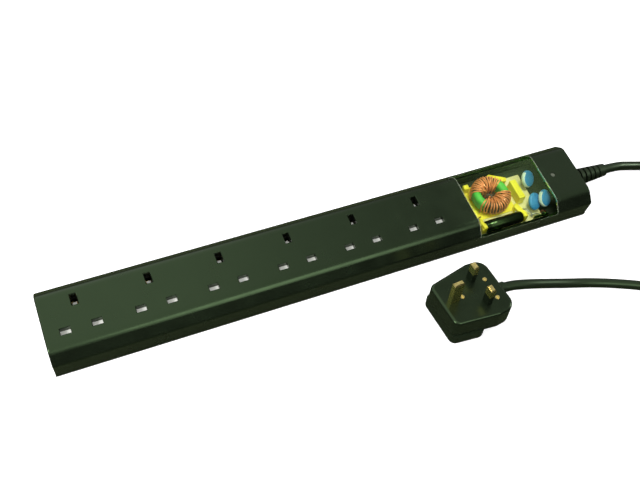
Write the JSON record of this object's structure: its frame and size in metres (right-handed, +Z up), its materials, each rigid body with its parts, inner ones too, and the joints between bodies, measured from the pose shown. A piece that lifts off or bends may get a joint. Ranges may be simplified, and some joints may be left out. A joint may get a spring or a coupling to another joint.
{
  "type": "surge-protected extension lead",
  "caption": "Long black extension lead casing with a row of shuttered mains outlets, a clear window over its surge filter, a ribbed cable gland, and a coiled cable to a fused three-pin plug.",
  "frame": {"origin": "middle of the casing's underside, on the surface that it lies on", "axes": "+X along the casing towards the cable end, +Y across it towards the earth slots, +Z up out of the outlets"},
  "size_m": [0.5905, 0.1719, 0.0521],
  "materials": {
    "black_gloss": "high gloss black with a faint green cast",
    "black_satin": "satin black",
    "clear": "clear polycarbonate, polished",
    "black_pvc": "satin soft PVC",
    "steel": "zinc plated",
    "white_plastic": "semi-gloss",
    "frame_plastic": "matt moulding",
    "brass": "bright stamped brass",
    "board": "bare laminate",
    "green_coat": "epoxy coated ferrite",
    "copper": "enamelled copper wire",
    "yellow_plastic": "satin moulding",
    "black_sleeve": "gloss",
    "blue_epoxy": "dipped epoxy",
    "lamp": "diffused lens",
    "ceramic": "ceramic tube with nickel caps",
    "brown_wire": "PVC insulation",
    "blue_wire": "PVC insulation",
    "green_wire": "green and yellow PVC insulation"
  },
  "bodies": {
    "strip": {"top_cover": "black_gloss", "plug_body": "black_gloss", "base_shell": "black_satin", "plug_cover": "black_satin", "window": "clear", "cable_gland": "black_pvc", "cable_lead": "black_pvc", "cable_coil": "black_pvc", "cable_tail": "black_pvc", "plug_cord_guard": "black_pvc", "sheath_end": "black_pvc", "plug_sheath_end": "black_pvc", "case_screws": "steel", "shutter_spring_1": "steel", "shutter_spring_2": "steel", "shutter_spring_3": "steel", "shutter_spring_4": "steel", "shutter_spring_5": "steel", "shutter_spring_6": "steel", "socket_frame": "frame_plastic", "contact_tray": "frame_plastic", "cord_clamp": "frame_plastic", "plug_cord_clamp": "frame_plastic", "live_busbar": "brass", "neutral_busbar": "brass", "earth_busbar": "brass", "earth_pin": "brass", "live_pin": "brass", "neutral_pin": "brass", "plug_screws": "brass", "fuse_clips": "brass", "filter_board": "board", "choke_core": "green_coat", "choke_winding_back": "copper", "choke_winding_front": "copper", "choke_cradle": "yellow_plastic", "film_capacitor": "yellow_plastic", "sleeved_capacitor": "black_sleeve", "live_pin_sleeve": "black_sleeve", "neutral_pin_sleeve": "black_sleeve", "varistor_1": "blue_epoxy", "varistor_2": "blue_epoxy", "varistor_3": "blue_epoxy", "status_lamp": "lamp", "fuse": "ceramic", "live_wire": "brown_wire", "neutral_wire": "blue_wire", "earth_wire": "green_wire"},
    "shutter_body_1": {"shutter_1": "white_plastic"},
    "shutter_body_2": {"shutter_2": "white_plastic"},
    "shutter_body_3": {"shutter_3": "white_plastic"},
    "shutter_body_4": {"shutter_4": "white_plastic"},
    "shutter_body_5": {"shutter_5": "white_plastic"},
    "shutter_body_6": {"shutter_6": "white_plastic"}
  },
  "joints": [
    {"name": "shutter_1_slide", "type": "slide", "parent": "strip", "child": "shutter_body_1", "axis": [0, -1, 0], "range_m": [0, 0.0052], "stiffness_N_per_m": 120, "springref_m": -0.002, "deforming": ["shutter_spring_1"]},
    {"name": "shutter_2_slide", "type": "slide", "parent": "strip", "child": "shutter_body_2", "axis": [0, -1, 0], "range_m": [0, 0.0052], "stiffness_N_per_m": 120, "springref_m": -0.002, "deforming": ["shutter_spring_2"]},
    {"name": "shutter_3_slide", "type": "slide", "parent": "strip", "child": "shutter_body_3", "axis": [0, -1, 0], "range_m": [0, 0.0052], "stiffness_N_per_m": 120, "springref_m": -0.002, "deforming": ["shutter_spring_3"]},
    {"name": "shutter_4_slide", "type": "slide", "parent": "strip", "child": "shutter_body_4", "axis": [0, -1, 0], "range_m": [0, 0.0052], "stiffness_N_per_m": 120, "springref_m": -0.002, "deforming": ["shutter_spring_4"]},
    {"name": "shutter_5_slide", "type": "slide", "parent": "strip", "child": "shutter_body_5", "axis": [0, -1, 0], "range_m": [0, 0.0052], "stiffness_N_per_m": 120, "springref_m": -0.002, "deforming": ["shutter_spring_5"]},
    {"name": "shutter_6_slide", "type": "slide", "parent": "strip", "child": "shutter_body_6", "axis": [0, -1, 0], "range_m": [0, 0.0052], "stiffness_N_per_m": 120, "springref_m": -0.002, "deforming": ["shutter_spring_6"]}
  ]
}
